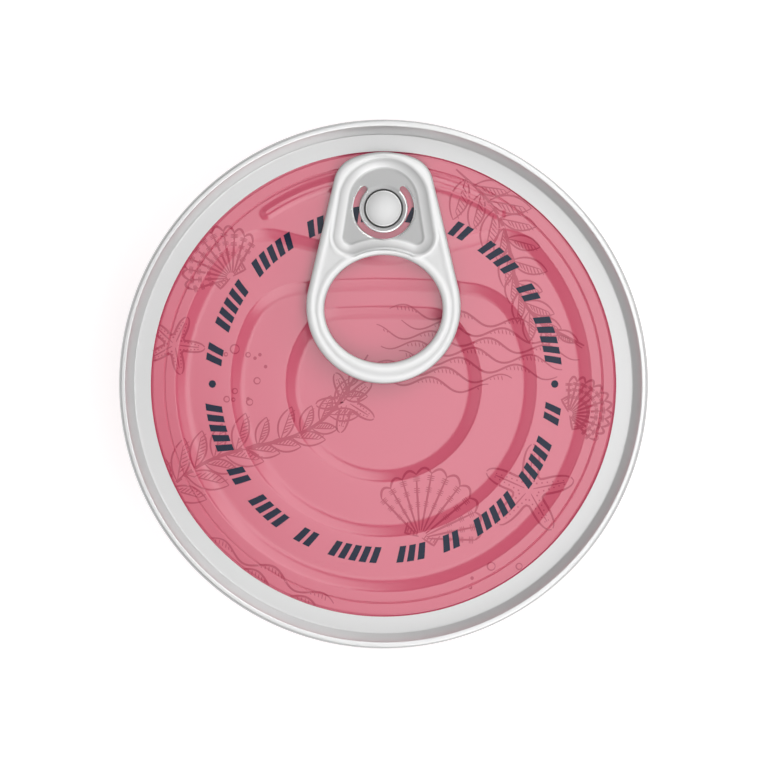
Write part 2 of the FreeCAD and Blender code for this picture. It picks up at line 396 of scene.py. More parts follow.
# %% Printed panel as a polar grid
panel_columns = 640
panel_angle = np.linspace(0, 2 * np.pi, panel_columns, endpoint=False)
step_rows = np.concatenate([[1.5, 1.28], np.linspace(1.15, 0.2, 9),
                            [0.12, 0.08, 0.05, 0.02, -0.01, -0.05, -0.1]])
rows = [np.full(panel_columns, radius) for radius in (0.0, 1.0, 3.0, 6.0, 8.5)]
for edges in step_edges[::-1]:
    start, end = (outline_radius(loop, panel_angle) for loop in edges)
    gap = start - (start - end) * step_rows[0] - rows[-1]
    rows += [rows[-1] + gap * share for share in (0.33, 0.67)]
    rows += [start - (start - end) * across for across in step_rows]
score_start = score_radius - groove_half
rows += [rows[-1] + (score_start - rows[-1]) * share for share in np.linspace(0, 1, 41)[1:]]
rows += [np.full(panel_columns, radius) for radius in (
    *(score_radius + groove_half * np.array((-0.9, -0.15, 0.0, 0.15, 0.9, 1.0, 1.2))),
    *np.linspace(score_radius + 0.5, print_groove - 0.4, 4),
    *(print_groove + groove_half * np.array((-1.2, -1.0, -0.9, -0.15, 0.15, 0.9, 1.0))),
    print_edge)]
radii = np.array(rows)
panel_x = radii * np.cos(panel_angle)
panel_y = radii * np.sin(panel_angle)
panel_points = np.stack([panel_x, panel_y, panel_height(panel_x, panel_y)], axis=-1)
panel = put_mesh("printed_panel", panel_points.reshape(-1, 3),
                 grid_faces(len(radii), panel_columns, True)[:, ::-1])
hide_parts("lid")

# %% [markdown]
# ## Seam, chuck wall and ledge
#
# Outside the print the end is bare tinplate: a flat ledge, the chuck wall that climbs
# to the seam, the seam's rounded crown and its outer face.  They are all round, so one
# profile turned about the axis makes them, with arcs where the roller bends the sheet.
# Its faces go to three finishes: the matt ledge, the burnished chuck wall, and the
# crown, whose colour is painted darker down its outer side as shade.

# %% Bare rim turned from one profile
lean_drop = 0.5
lean = math.degrees(math.atan2(countersink - lean_drop, chuck_taper))
cut_back = chuck_fillet * math.tan(math.radians(lean / 2))
rim_profile = np.vstack([
    [(print_edge - 0.02, panel_z - 0.005)],
    [(print_edge + out, panel_z) for out in (0.15, 0.93, 2.03)],
    bend((chuck_foot - cut_back, panel_z + chuck_fillet), chuck_fillet, -90, lean - 90, 9),
    bend((seam_inner + seam_shoulder, can_height - seam_shoulder), seam_shoulder, 180, 90, 10),
    bend((seam_radius - seam_crown, can_height - seam_crown), seam_crown, 90, 0, 16),
    [(seam_radius, can_height - 1.2), (seam_radius, seam_foot_z + 0.9)],
    bend((seam_radius - seam_hem, seam_foot_z + seam_hem), seam_hem, 0, -90, 8),
    [(body_radius + 0.3, seam_foot_z), (body_radius - 0.05, seam_foot_z + 0.1)]])
rim = put_mesh("seamed_rim", *turned(rim_profile, 512))
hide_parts("lid")
# The crown faces picked out here take a colour blend by height that paints shade down the
# seam's outer side.
x, y, z = face_middles(rim).T
burnished = z > panel_z + 0.2
rolled = burnished & (np.hypot(x, y) > seam_inner + 0.11)
rim.data.polygons.foreach_set("material_index", burnished.astype(np.int32) + rolled)

# %% [markdown]
# ## Wall and base
#
# The body is drawn from one disc, so its wall and base are one sheet.  The print stops
# short of the seam, where the rollers would rub it off, and ends on the bottom corner.
# Three turned profiles meet at those edges: bare, printed, and bare again under the can.

# %% Printed wall and bare base
base_corner = 3.0
stand_outer = body_radius - base_corner
stand_inner = stand_outer - 1.5
base_step = stand_inner - 10.0
base_recess = 1.0
base_middle = 1.5
base_bend = 0.3
wall_low = base_corner + 0.4
wall_high = seam_foot_z - 0.9
print_end = -55.0
wall_profile = np.vstack([
    [(body_radius, height) for height in np.linspace(wall_high, base_corner + 0.1, 12)],
    bend((stand_outer, base_corner), base_corner, 0, print_end, 12)])
wall = put_mesh("printed_wall", *turned(wall_profile))
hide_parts("can_body")

neck = put_mesh("bare_neck", *turned(
    [(body_radius, height) for height in (seam_foot_z + 0.2, wall_high + 0.4, wall_high)]))
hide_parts("can_body")

base_profile = np.vstack([
    bend((stand_outer, base_corner), base_corner, print_end, -90, 9),
    [(stand_inner + 0.5, 0.0)],
    bend((stand_inner, 0.35), 0.35, -90, -135, 4),
    bend((stand_inner - 1.0, base_recess - base_bend), base_bend, 45, 90, 4),
    [(stand_inner - 1.6, base_recess), (base_step + 0.4, base_recess)],
    bend((base_step, base_recess + base_bend), base_bend, -90, -135, 4),
    [(base_step - 0.9, base_middle - 0.08), (base_step - 1.3, base_middle),
     (12.0, base_middle), (0.0, base_middle)]])
base = put_mesh("bare_base", *turned(base_profile))
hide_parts("can_body")

# %% [markdown]
# ## Ring pull
#
# A ring pull is stamped from a strip and its edges are curled under, so it has a fat
# round rim outside and round the finger hole, with a soft valley between.  The well
# holds the rivet, and a slot round it frees a tongue that bends as the ring lifts.
# Three grids that share their edge points make it: a strap along the outline, one from
# there to the finger hole, and one to the well and the rivet.  Each point's height is
# then worked out from its distance to the edges.


# %% Outlines of the ring pull, its hole and its well
def ring_pull_outline(inset, spacing=0.3):
    """The ring, two straight sides and the nose with its corners."""
    ring = ring_radius - inset
    corner = nose_corner - inset
    nose = nose_radius - inset
    nose_centre = nose_y - nose_radius
    tilt = math.radians(side_angle)
    rise = math.sin(tilt) * (ring_y - nose_centre) + ring - corner
    run = math.sqrt((nose - corner) ** 2 - rise ** 2)
    centre = (0, nose_centre) + rise * heading(tilt) + run * left_of(heading(tilt))
    touch = math.degrees(bearing(centre, (0, nose_centre)))
    return outline_points([
        ("arc", (0, ring_y), ring, -90, side_angle),
        ("line", polar((0, ring_y), ring, side_angle), polar(centre, corner, side_angle)),
        ("arc", centre, corner, side_angle, touch),
        ("arc", (0, nose_centre), nose, touch, 90)], spacing)


def well_points(inset):
    """A round end, two sides, two lobes and a rear edge that waves."""
    head_y = rivet_y + well_head_ahead
    lobe_y = rivet_y - well_lobe_behind
    tilt = math.radians(well_side_angle)
    lobe_x = (math.sin(tilt) * (head_y - lobe_y) + well_head - well_lobe) / math.cos(tilt)
    waist_y = rivet_y - well_waist_behind
    rise = lobe_y - waist_y
    waist = (lobe_x ** 2 + rise ** 2 - well_lobe ** 2) / (2 * (well_lobe - rise))
    waist_centre = waist_y - waist
    touch = math.degrees(math.atan2(lobe_y - waist_centre, lobe_x))
    head = well_head - inset
    lobe = well_lobe - inset
    return outline_points([
        ("arc", (0, waist_centre), waist + inset, 90, touch),
        ("arc", (lobe_x, lobe_y), lobe, touch - 180, well_side_angle),
        ("line", polar((lobe_x, lobe_y), lobe, well_side_angle),
         polar((0, head_y), head, well_side_angle)),
        ("arc", (0, head_y), head, well_side_angle, 90)])


def respaced(points, count):
    """Evenly spaced points along a run of straight pieces, from end to end."""
    run = np.concatenate([[0], np.cumsum(np.hypot(*np.diff(points, axis=0).T))])
    even = np.linspace(0, run[-1], count)
    return np.stack([np.interp(even, run, values) for values in points.T], axis=-1)


def resampled(loop, count):
    """The same closed loop with evenly spaced points, starting at its first point."""
    return respaced(np.vstack([loop, loop[:1]]), count + 1)[:-1]


# %% Strap along the ring pull's outline
curl = (tab_top_z - tab_z) / 2
edge_round = 0.3
edge_insets = np.concatenate([edge_round * (1 - np.cos(np.linspace(0, np.pi / 2, 7))),
                              np.linspace(0.4, curl, 5)])
outline_count = 420
base_loop = resampled(ring_pull_outline(0.0, 0.05), outline_count)
tangent = np.roll(base_loop, -1, axis=0) - np.roll(base_loop, 1, axis=0)
tangent /= np.hypot(*tangent.T)[:, None]
strap = base_loop + edge_insets[:, None, None] * left_of(tangent)
strap_inner = strap[-1]

# %% Edge between the two inner grids
junction_angle = 30.0
divide_count = 118
finger_centre = np.array([0.0, finger_y])
seen_from_finger = np.degrees(bearing(strap_inner, finger_centre))
right_side = seen_from_finger[:outline_count // 2]
right_join = int(np.argmin(np.abs(right_side - junction_angle)))
left_join = outline_count - right_join
ring_part = np.concatenate([np.arange(left_join, outline_count), np.arange(right_join + 1)])
nose_part = np.arange(right_join, left_join + 1)


def hole_loop(angle, offset):
    """Points round the finger hole, at angles seen from its centre.

    The hole is an ellipse, and the offset widens both of its half axes.
    """
    wide, long = finger_half_width + offset, finger_half_length + offset
    reach = wide * long / np.hypot(long * np.cos(angle), wide * np.sin(angle))
    return finger_centre + reach[..., None] * heading(angle)


join_angle = seen_from_finger[right_join]
divide_turn = np.linspace(join_angle, 180 - join_angle, divide_count + 2)[1:-1]
off_middle = np.abs(divide_turn - 90) / (90 - join_angle)
near = hole_loop(np.radians(divide_turn), edge_insets[-1])
far = around(strap_inner, finger_centre, np.radians(divide_turn))
divide = near + (far - near) * (0.012 + 0.988 * off_middle ** 6)[:, None]
print("inner grids meet up to y =", divide[:, 1].max().round(2), "mm")

# %% Grid from the strap in to the finger hole
ring_outer = np.vstack([strap_inner[ring_part], divide])
ring_angle = bearing(ring_outer, finger_centre)
hole_rows = np.stack([hole_loop(ring_angle, inset) for inset in edge_insets[::-1]])
share = np.linspace(0, 1, 12)[:-1, None, None]
ring_grid = np.concatenate([ring_outer + share * (hole_rows[0] - ring_outer), hole_rows])

# %% Grid from the strap in to the well, the slot and the rivet
well_centre = np.array([0.0, rivet_y - 1.0])
nose_outer = np.vstack([strap_inner[nose_part], divide[::-1]])
nose_angle = bearing(nose_outer, well_centre)
well_insets = np.linspace(-0.9, well_bevel + 0.25, 24)
well_rows = np.stack([around(well_points(inset), well_centre, nose_angle)
                      for inset in well_insets])
rivet_centre = np.array([0.0, rivet_y])
slot_outer = tongue_radius + slot_width
off_rivet = well_rows - rivet_centre
reach = np.hypot(off_rivet[..., 0], off_rivet[..., 1])
closest = slot_outer + 0.05 + 0.05 * np.arange(len(well_rows))[::-1, None]
well_rows = rivet_centre + off_rivet * (np.maximum(reach, closest) / reach)[..., None]
web_angle = bearing(well_rows[-1], rivet_centre)
from_front = np.degrees(np.mod(web_angle + np.pi / 2, 2 * np.pi) - np.pi)
for side in (-1, 1):
    nearest = int(np.argmin(np.abs(from_front - side * tongue_half_angle)))
    from_front[nearest] = side * tongue_half_angle
bridge = np.abs(from_front) <= tongue_half_angle + 1e-6


def ring_of(radius, from_nose):
    """Points on a circle round the rivet, at angles in degrees from the nose."""
    return polar(rivet_centre, radius, from_nose + 90)


web_outer = ring_of(slot_outer, from_front)
web_share = np.array([0.25, 0.5, 0.75, 0.84, 0.92, 1.0])[:, None, None]
web_rows = well_rows[-1] + web_share * (web_outer - well_rows[-1])
slot_rows = []
for radius in np.linspace(slot_outer, tongue_radius, 9)[1:-1]:
    off = radius - (slot_outer + tongue_radius) / 2
    round_end = math.degrees(math.sqrt((slot_width / 2) ** 2 - off ** 2) / radius)
    squeeze = 1 - round_end / tongue_half_angle
    slot_rows.append(ring_of(radius, np.where(bridge, from_front * squeeze, from_front)))
tongue_rows = [ring_of(radius, from_front)
               for radius in (tongue_radius, 3.88, 3.76, 3.55, 3.32, 3.24, 3.16, 2.9, 1.6)]
share = np.linspace(0, 1, 9)[:-1, None, None]
nose_grid = np.concatenate([nose_outer + share * (well_rows[0] - nose_outer),
                            well_rows, web_rows, slot_rows, tongue_rows])
first_slot_row = len(share) + len(well_rows) + len(web_rows) - 1
print("well grid", nose_grid.shape[:2], "slot from row", first_slot_row)

# %% One flat sheet from the three grids
nose_faces = grid_faces(len(nose_grid), len(nose_outer), True)
face_row, face_column = np.divmod(nose_faces[:, 0], len(nose_outer))
in_slot = (face_row >= first_slot_row) & (face_row <= first_slot_row + len(slot_rows))
in_slot &= ~(bridge[face_column] & bridge[(face_column + 1) % len(nose_outer)])
grids = [(strap.reshape(-1, 2), grid_faces(len(strap), outline_count, True)),
         (ring_grid.reshape(-1, 2), grid_faces(len(ring_grid), len(ring_outer), True)),
         (nose_grid.reshape(-1, 2), nose_faces[~in_slot])]
starts = np.cumsum([0] + [len(points) for points, _ in grids[:-1]])
flat = np.vstack([points for points, _ in grids])
sheet_faces = np.vstack([faces + start for (_, faces), start in zip(grids, starts)])
_, first, same = np.unique(flat.round(5), axis=0, return_index=True, return_inverse=True)
flat = flat[first]
sheet_faces = same.ravel()[sheet_faces]
print("ring pull sheet", len(flat), "points")


# %% Heights of the ring pull's two faces
edge_slope = 0.1
shoulder_drop = 0.07
crest_height = 0.2
crest_out = 0.62
well_lip = 0.5


def nearest_distance(points, loop):
    """Shortest distance from each point to a closed loop's straight pieces."""
    found = np.full(len(points), np.inf)
    for start, along in zip(loop, np.roll(loop, -1, axis=0) - loop):
        share = np.clip(((points - start) @ along) / (along @ along), 0, 1)[:, None]
        found = np.minimum(found, ((points - start - share * along) ** 2).sum(axis=1))
    found = np.sqrt(found)
    return np.where(found < 0.004, 0, found)


def smooth(share):
    """0 to 1 with level ends: 3 s^2 - 2 s^3."""
    share = np.clip(share, 0, 1)
    return share * share * (3 - 2 * share)


def curled(off):
    """Height above the middle of a rolled edge: upright, a round corner, a slope."""
    short = np.clip(edge_round - off, 0, edge_round)
    corner_rise = np.sqrt(edge_round ** 2 - short ** 2)
    return curl - edge_round + corner_rise - edge_slope * (1 - smooth(off / 0.95))


edge_off = nearest_distance(flat, base_loop)
hole_off = nearest_distance(flat, hole_loop(np.linspace(0, 2 * np.pi, 301)[:-1], 0.0))
well_loop = resampled(well_points(0.0), 300)
inside_well = np.hypot(*(flat - well_centre).T) < outline_radius(
    well_loop, bearing(flat, well_centre), well_centre)
well_off = nearest_distance(flat, well_loop) * np.where(inside_well, 1, -1)
from_rivet = np.hypot(*(flat - rivet_centre).T)
beside_front = np.abs(np.degrees(np.arctan2(*(flat - rivet_centre).T)))
edge_rise = np.minimum(curled(edge_off), curled(hole_off))
valley = shoulder_drop * np.minimum(smooth((edge_off - 0.8) / 0.9),
                                    smooth((hole_off - 0.85) / 0.9))
crest = crest_height * np.exp(-((well_off + crest_out) / 0.36) ** 2)
middle_z = (tab_z + tab_top_z) / 2
top = np.minimum(middle_z + edge_rise - valley + crest, tab_top_z)
down_well = (well_off + well_lip) / (well_bevel + well_lip)
sunk = np.clip(eased(down_well, 0.25) - eased(down_well - 1, 0.12), 0, 1)
top = np.where(well_off > -1.2, top + (web_top_z - top) * sunk, top)
dished = 0.12 * smooth((tongue_radius - from_rivet) / 0.6) \
    + 0.15 * smooth((rivet_head + 0.3 - from_rivet) / 0.15)
off_edge = np.minimum(np.abs(from_rivet - slot_outer), np.abs(from_rivet - tongue_radius))
slot_edge = 0.14 * np.clip(1 - off_edge / 0.22, 0, 1) * (beside_front > tongue_half_angle - 1)
top = top - dished - slot_edge
bottom = middle_z - edge_rise
bottom = np.where(well_off > 0, bottom + (web_z - bottom) * smooth(well_off / well_bevel),
                  bottom)

# %% Ring pull as one closed shell
pairs = np.concatenate([sheet_faces[:, [k, (k + 1) % 4]] for k in range(4)])
keys = np.sort(pairs, axis=1)
_, where, times = np.unique(keys, axis=0, return_index=True, return_counts=True)
rim_pairs = pairs[where[times == 1]]
rim_pairs = rim_pairs[(top - bottom)[rim_pairs].min(axis=1) > 1e-4]
count = len(flat)
under = np.where(top - bottom < 1e-4, 0, count) + np.arange(count)
shell = np.vstack([np.column_stack([flat, top]), np.column_stack([flat, bottom])])
walls = np.column_stack([rim_pairs[:, ::-1], under[rim_pairs]])
shell_faces = np.vstack([sheet_faces, under[sheet_faces[:, ::-1]], walls])
used, shell_faces = np.unique(shell_faces, return_inverse=True)
ring_pull = put_mesh("ring_pull", shell[used], shell_faces.reshape(-1, 4))
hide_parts("pull_tab")
x, y, z = face_middles(ring_pull).T
face_reach = np.hypot(x, y - rivet_y)
face_turn = np.abs(np.degrees(np.arctan2(x, y - rivet_y)))
sheared = (np.abs(face_reach - slot_outer - 0.1) < 0.12) \
    | (np.abs(face_reach - tongue_radius + 0.1) < 0.11)
sheared &= (face_turn > tongue_half_angle - 1) & (z > web_top_z - 0.3)
ring_pull.data.polygons.foreach_set("material_index", sheared.astype(np.int32))
print("sheared edge", int(sheared.sum()), "faces")

# %% [markdown]
# ## Rivet
#
# The rivet is drawn up from the panel as a hollow boss and then pressed flat over the
# tongue.  Its head is a low crowned button with a rounded edge and a straight skirt.

# %% Rivet head and boss
head_z = rivet_high[2]
head_profile = np.vstack([
    [(0.0, head_z), (0.6, head_z - 0.005), (1.2, head_z - 0.02), (1.8, head_z - 0.045),
     (2.3, head_z - 0.073), (2.74, head_z - 0.1)],
    bend((rivet_head - 0.16, head_z - 0.28), 0.16, 110, 0, 10),
    [(rivet_head, head_z - 0.48), (rivet_head - 0.12, web_top_z - 0.24),
     (1.7, web_top_z - 0.24)]])
rivet = put_mesh("rivet_head", *turned(head_profile, 128, rivet_y))
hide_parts("rivet")
boss = put_mesh("rivet_boss", *turned(
    [(1.6, web_z), (2.9, web_z), (3.05, web_z - 0.12), (3.4, panel_z + 0.12),
     (3.8, panel_z - 0.01)], 96, rivet_y))
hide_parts("lid")

# %% [markdown]
# ## Print on the metal
#
# The end is printed in rose line art over a pink ground, with a navy border like a
# laid rope.  A picture texture would blur close up, so the strokes are thin ribbons of
# mesh, drawn by functions: kelp fronds, scallop shells, starfish, swells and bubbles.
# Each lies a few hundredths of a millimetre above the relief and follows its steps.

# %% Strokes and dots
ink_lift = 0.02
ink_layer = 0.0004
stroke_points = 14


def stroke(points, width, count=stroke_points):
    """Centre line of a stroke, respaced, with half widths that thin out at its ends.

    The half width follows the square root of a sine, from a quarter to the full one.
    """
    swell = 0.25 + 0.75 * np.sqrt(np.sin(np.pi * np.linspace(0.02, 0.98, count)))
    return respaced(np.asarray(points, float), count), 0.6 * width * swell


def curve(start, middle, end):
    """Points of a parabola with three controls: (1-t)^2 a + 2 t (1-t) b + t^2 c."""
    t = np.linspace(0, 1, stroke_points)[:, None]
    return (1 - t) ** 2 * start + 2 * t * (1 - t) * middle + t ** 2 * end


def moved(strokes, place, turn):
    """Strokes turned by degrees and moved to a place."""
    spin = heading(np.radians([turn, turn + 90]))
    return [(line @ spin + place, half) for line, half in strokes]


def dot(centre, radius):
    """A round dot as a short fat stroke whose half width follows a circle."""
    t = np.linspace(-1, 1, 9)
    line = np.stack([centre[0] + radius * t, np.full(9, centre[1])], axis=-1)
    return line, radius * np.sqrt(np.clip(1 - t ** 2, 0.0009, 1))


# %% Motifs, each round its own origin in millimetres
def kelp_frond(length, leaves, sway):
    """Stem along x that sways like a sine, with veined leaves on both sides."""
    t = np.linspace(0, 1, 40)
    stem = np.stack([length * t, sway * np.sin(2.2 * np.pi * t) * (0.4 + 0.6 * t)], -1)
    yield stroke(stem, 0.5, 60)
    for number in range(2 * leaves):
        share = 0.06 + 0.86 * number / (2 * leaves)
        foot = np.array([np.interp(share, t, values) for values in stem.T])
        side = 1 if number % 2 else -1
        reach = (7.4 - 3.6 * share) * (1.0 + 0.12 * math.sin(5.0 * number))
        lean = math.radians(side * (52 - 24 * share))
        ahead = reach * heading(lean)
        across = left_of(ahead)
        for edge in (-1, 1):
            middle = foot + 0.5 * ahead + 0.42 * edge * across
            yield stroke(curve(foot, middle, foot + ahead), 0.26)
        yield stroke([foot, foot + 0.8 * ahead], 0.2, 6)
        for vein in np.linspace(0.2, 0.8, 7):
            start = foot + vein * ahead
            end = start + 0.14 * ahead - side * 0.76 * vein * (1 - vein) * across
            yield stroke([start, end], 0.17, 4)


def scallop_shell(radius):
    """Fan of ribs from a hinge, a scalloped rim, hatched growth lines and two ears."""
    spread = np.radians(np.linspace(90 - 68, 90 + 68, 11))
    tips = (radius * (0.80 + 0.20 * np.sin(spread) ** 2))[:, None] * heading(spread)
    for tip, angle in zip(tips, spread):
        yield stroke([0.12 * tip, tip], 0.3, 8)
        for ring in (0.5, 0.72, 0.9):
            side = left_of(heading(angle)) * (0.55 * ring + 0.12)
            for tick in range(3):
                foot = (ring + 0.03 * tick) * tip
                yield stroke([foot - side, foot + side], 0.15, 4)
    for left, right in zip(tips, tips[1:]):
        bulge = (left + right) / 2 * (1 + 2.1 / radius)
        yield stroke(curve(left, bulge, right), 0.34)
    for side in (-1, 1):
        ear = [(0.3 * side, 0.2), (2.6 * side, -0.2), (2.9 * side, 1.7)]
        yield stroke(ear, 0.3, 10)
        for step in np.linspace(0.25, 0.85, 4):
            foot = 2.7 * side * step
            yield stroke([(foot, 0.1), (foot + 0.15 * side, 1.0)], 0.17, 4)


def starfish(radius):
    """Outline whose radius swells five times round, with rows of dots along the arms."""
    arms = 5
    turn = np.linspace(0, 2 * np.pi, 161)
    swell = (0.5 + 0.5 * np.cos(arms * turn)) ** 1.6
    rim = (radius * (0.34 + 0.66 * swell))[:, None] * heading(turn)
    for part in np.array_split(rim, arms):
        yield stroke(part, 0.32, 24)
    for number in range(arms):
        ahead = radius * heading(2 * math.pi * number / arms)
        across = left_of(ahead) / radius
        yield stroke([0.1 * ahead, 0.8 * ahead], 0.2, 8)
        for share in np.linspace(0.2, 0.78, 6):
            for side in (-1, 1):
                place = share * ahead + side * (0.9 - 0.75 * share) * across
                yield dot(place, 0.17 - 0.08 * share)


def swells(length, lines):
    """Parallel swells: each a long sine with hatch strokes hanging from its crests."""
    for number in range(lines):
        start = 2.4 * math.sin(2.0 * number)
        run = length * (1 - 0.11 * abs(number - 2))
        x = start + run * np.linspace(0, 1, 80)
        y = -1.9 * number + 0.95 * np.sin(2 * np.pi * (x / 9.5 + 0.23 * number))
        yield stroke(np.stack([x, y], -1), 0.3, 70)
        for place in np.arange(start + 1.2, start + run - 1.2, 0.62):
            phase = math.sin(2 * math.pi * (place / 9.5 + 0.23 * number))
            if phase > 0.1:
                foot = -1.9 * number + 0.95 * phase - 0.22
                yield stroke([(place, foot), (place + 0.25, foot - 0.75 * phase)], 0.15, 4)


def bubbles(seed, count, spread):
    """Small rings and dots, scattered by a seeded draw."""
    draw = np.random.default_rng(seed)
    circle = heading(np.linspace(0, 2 * np.pi, 25))
    for number in range(count):
        place = draw.uniform(-spread, spread, 2)
        ring = place + draw.uniform(0.25, 0.8) * circle
        yield stroke(ring, 0.2, 16) if number % 3 else dot(place, 0.3)


# %% Rose line art laid out on the end
line_art = [
    *moved(kelp_frond(46, 11, 3.6), (-40.0, -22.0), 33),
    *moved(kelp_frond(36, 9, 3.2), (12.0, 35.5), -57),
    *moved(scallop_shell(11.0), (6.0, -25.5), -24),
    *moved(scallop_shell(8.2), (-25.0, 17.5), 38),
    *moved(scallop_shell(6.4), (30.5, -5.0), -70),
    *moved(starfish(7.6), (24.0, -17.5), 12),
    *moved(starfish(5.2), (-6.0, -3.0), 40),
    *moved(starfish(5.0), (-34.5, 6.5), 65),
    *moved(swells(34, 7), (1.0, 12.5), -7),
    *moved(swells(30, 6), (-29.0, -25.5), -28),
    *moved(bubbles(3, 12, 5.0), (18.5, -31.0), 0),
    *moved(bubbles(5, 12, 4.5), (-24.0, 1.5), 0),
]
print(len(line_art), "strokes in the line art")


def ribbon(strokes, inside, place, name):
    """One mesh from many strokes: left and right edges of each, set on a surface.

    edges = line +- half width * normal.  inside(x, y) says which points print.
    """
    points, lifts, faces, start = [], [], [], 0
    for line, half in strokes:
        kept = inside(*line.T)
        if kept.sum() < 3:
            continue
        ahead = np.gradient(line, axis=0)
        ahead /= np.hypot(*ahead.T)[:, None] + 1e-9
        across = left_of(ahead) * half[:, None]
        points.append(np.stack([line + across, line - across], axis=1).reshape(-1, 2))
        lifts.append(np.full(2 * len(line), ink_lift + ink_layer * (len(lifts) % 50)))
        corner = start + 2 * np.arange(len(line) - 1)[kept[:-1] & kept[1:]]
        faces.append(np.stack([corner, corner + 1, corner + 3, corner + 2], axis=-1))
        start += 2 * len(line)
    flat_points = np.vstack(points)
    used, faces = np.unique(np.vstack(faces), return_inverse=True)
    set_down = place(*flat_points[used].T, np.concatenate(lifts)[used])
    return put_mesh(name, set_down, faces.reshape(-1, 4))


def on_panel(x, y, lift):
    """Place flat (x, y) on the pressed panel, just above the metal."""
    return np.stack([x, y, panel_height(x, y) + lift], axis=-1)


def within_print(x, y):
    """Whether a point is inside the printed disc."""
    return np.hypot(x, y) < print_edge - 0.01


edge_line = (print_edge - 0.13) * heading(np.linspace(0, 2 * np.pi, 721))
end_art = ribbon([*line_art, (edge_line, np.full(721, 0.11))], within_print, on_panel,
                 "end_line_art")
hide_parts("lid")

# %% [markdown]
# ## Rope border
#
# Slanted navy strands run round the end between the first two steps, in groups with
# short gaps, and a round dot marks each side.  Each strand is a small patch on a polar
# grid, sheared so that its outer end leads.

# %% Navy strands between two radii
rope_inner, rope_outer = 26.98, 29.63
strand_pitch = 3.42
strand_share = 0.66
strand_slant = 1.7
dot_gap = 13.0
groups = (2, 5, 5, 2, 3, 5, 2, 4, 2, 5)
group_gap = (180 - dot_gap - sum(groups) * strand_pitch) / (len(groups) - 1)
gaps_passed = np.repeat(np.arange(len(groups)), groups)
half_round = 180 - (dot_gap + strand_pitch) / 2 - group_gap * gaps_passed \
    - strand_pitch * np.arange(sum(groups))
strands = np.concatenate([half_round, half_round + 180])[:, None, None]
across, along = np.meshgrid(np.linspace(-0.5, 0.5, 5), np.linspace(0, 1, 9))
turn = np.radians(strands + across * strand_pitch * strand_share
                  + (0.5 - along) * strand_slant)
radius = rope_inner + along * (rope_outer - rope_inner)
patches = on_panel(radius * np.cos(turn), radius * np.sin(turn), ink_lift + 55 * ink_layer)
strand_faces = grid_faces(9, 5, False)[:, ::-1] + 45 * np.arange(len(strands))[:, None, None]
rope = put_mesh("rope_border", patches.reshape(-1, 3), strand_faces.reshape(-1, 4))
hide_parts("lid")
dots = ribbon([dot((side * (rope_inner + rope_outer) / 2, 0.0), 0.62) for side in (-1, 1)],
              within_print, on_panel, "border_dots")
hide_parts("lid")

# %% The same print round the wall
around_wall = 2 * math.pi * body_radius
repeats = 4


def on_wall(x, y, lift):
    """Wrap flat (x, y) round the wall: angle = x / radius, height = y."""
    turn = x / body_radius
    radius = body_radius + lift
    return np.stack([radius * np.cos(turn), radius * np.sin(turn), y], axis=-1)


def within_wall(x, y):
    """Whether a height is on the printed part of the wall."""
    return (y > wall_low + 0.15) & (y < wall_high - 0.15)


wall_art = []
for number in range(repeats):
    start = (number + 0.1) * around_wall / repeats
    wall_art += [*moved(kelp_frond(34, 9, 3.0), (start, 6.5), 20),
                 *moved(scallop_shell(9.0), (start + 39, 7.5), -12),
                 *moved(starfish(6.4), (start + 54, 12.5), 20 + 30 * number),
                 *moved(swells(26, 4), (start + 24, 22.5), 3),
                 *moved(bubbles(20 + number, 10, 4.5), (start + 4, 19.0), 0)]
wall_end_art = ribbon(wall_art, within_wall, on_wall, "wall_line_art")
rope_low, rope_high = wall_high - 3.4, wall_high - 0.75
feet = [number * around_wall / 140 for number in range(140) if number % 7 < 5]
strand_lines = [(np.linspace((foot, rope_low), (foot + 0.9, rope_high), 9), np.full(9, 0.62))
                for foot in feet]
wall_rope = ribbon(strand_lines, within_wall, on_wall, "wall_rope_border")
for piece in (wall_end_art, wall_rope):
    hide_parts("can_body")

# %% [markdown]
# ## Finishes
#
# Tinplate printed for cans has a white coat, a thin coloured ink and a clear varnish,
# so it keeps its colour in shade and takes a soft white sheen from the lamps.  The
# rim, the ring pull and the rivet are bare metal with a rolled, satin surface, and a
# blend of colours by height paints shade into their folds and hollows and highlights
# on some edges and crests.  Colours are written as sRGB hex and turned to linear once.


# %% Colours and nodes
def linear(code):
    """Linear RGBA of an sRGB hex: below 0.04045 c / 12.92, else ((c + .055) / 1.055)^2.4."""
    values = [int(code[k:k + 2], 16) / 255 for k in (1, 3, 5)]
    return (*[c / 12.92 if c <= 0.04045 else ((c + 0.055) / 1.055) ** 2.4
              for c in values], 1.0)


def add_node(tree, kind, inputs=(), **settings):
    """Shader node with its settings, and inputs given as values or as sockets."""
    node = tree.nodes.new("ShaderNode" + kind)
    for key, value in settings.items():
        setattr(node, key, value)
    for key, value in dict(inputs).items():
        if isinstance(value, bpy.types.NodeSocket):
            tree.links.new(value, node.inputs[key])
        else:
            node.inputs[key].default_value = value
    return node


def empty_tree(owner):
    """Node tree of a material or a world, with nothing in it yet."""
    owner.use_nodes = True
    owner.node_tree.nodes.clear()
    return owner.node_tree


def blend_by_height(tree, place, stops):
    """Colour socket that blends (height in mm, hex) stops, from low to high."""
    low, high = stops[0][0], stops[-1][0]
    height = add_node(tree, "SeparateXYZ", {"Vector": place})
    share = add_node(tree, "MapRange", {
        "Value": height.outputs["Z"], "From Min": low * MM, "From Max": high * MM})
    blend = add_node(tree, "ValToRGB", {"Fac": share.outputs["Result"]})
    ramp = blend.color_ramp.elements
    ramp[0].color = linear(stops[0][1])
    ramp[1].color = linear(stops[-1][1])
    for level, colour in stops[1:-1]:
        ramp.new((level - low) / (high - low)).color = linear(colour)
    return blend.outputs["Color"]


